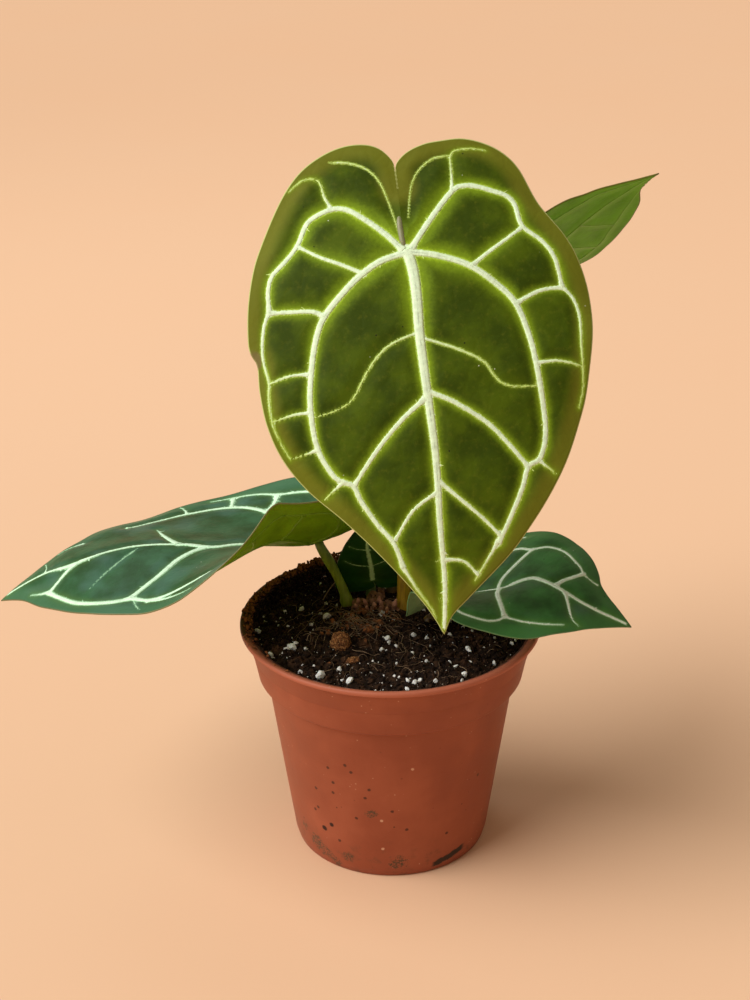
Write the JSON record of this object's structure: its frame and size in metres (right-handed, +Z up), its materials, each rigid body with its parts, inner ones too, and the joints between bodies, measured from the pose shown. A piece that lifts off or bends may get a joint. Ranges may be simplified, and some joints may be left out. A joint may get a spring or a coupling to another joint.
{
  "type": "potted crystal anthurium",
  "caption": "Aroid house plant with velvety heart leaves and a pale raised vein net, in a tapered plastic nursery pot.",
  "frame": {"origin": "middle of the pot's underside, on the surface that it stands on", "axes": "+Z up through the pot's middle, -Y towards the front of the plant, where the large leaf faces, +X to its right"},
  "size_m": [0.2582, 0.1611, 0.2805],
  "materials": {
    "pot": "matte terracotta coloured plastic",
    "soil": "dark peaty mix with white perlite",
    "crown": "rough brown rhizome and root buds",
    "bark": "rough orange-brown bark",
    "petiole": "smooth green stalk",
    "young_leaf": "velvety olive green blade",
    "old_leaf": "satin blue-green blade",
    "vein": "pale raised vein"
  },
  "bodies": {
    "root": {"pot": "pot", "soil": "soil", "crown": "crown", "bark_ball": "bark", "bark_chip": "bark", "bark_flake": "bark", "petiole_front": "petiole", "petiole_left": "petiole", "petiole_right": "petiole", "petiole_upper": "petiole", "petiole_centre": "petiole", "leaf_front": "young_leaf", "leaf_upper": "young_leaf", "leaf_left": "old_leaf", "leaf_right": "old_leaf", "leaf_centre": "old_leaf", "veins_front": "vein", "veins_left": "vein", "veins_right": "vein", "veins_upper": "vein", "veins_centre": "vein"}
  },
  "joints": []
}
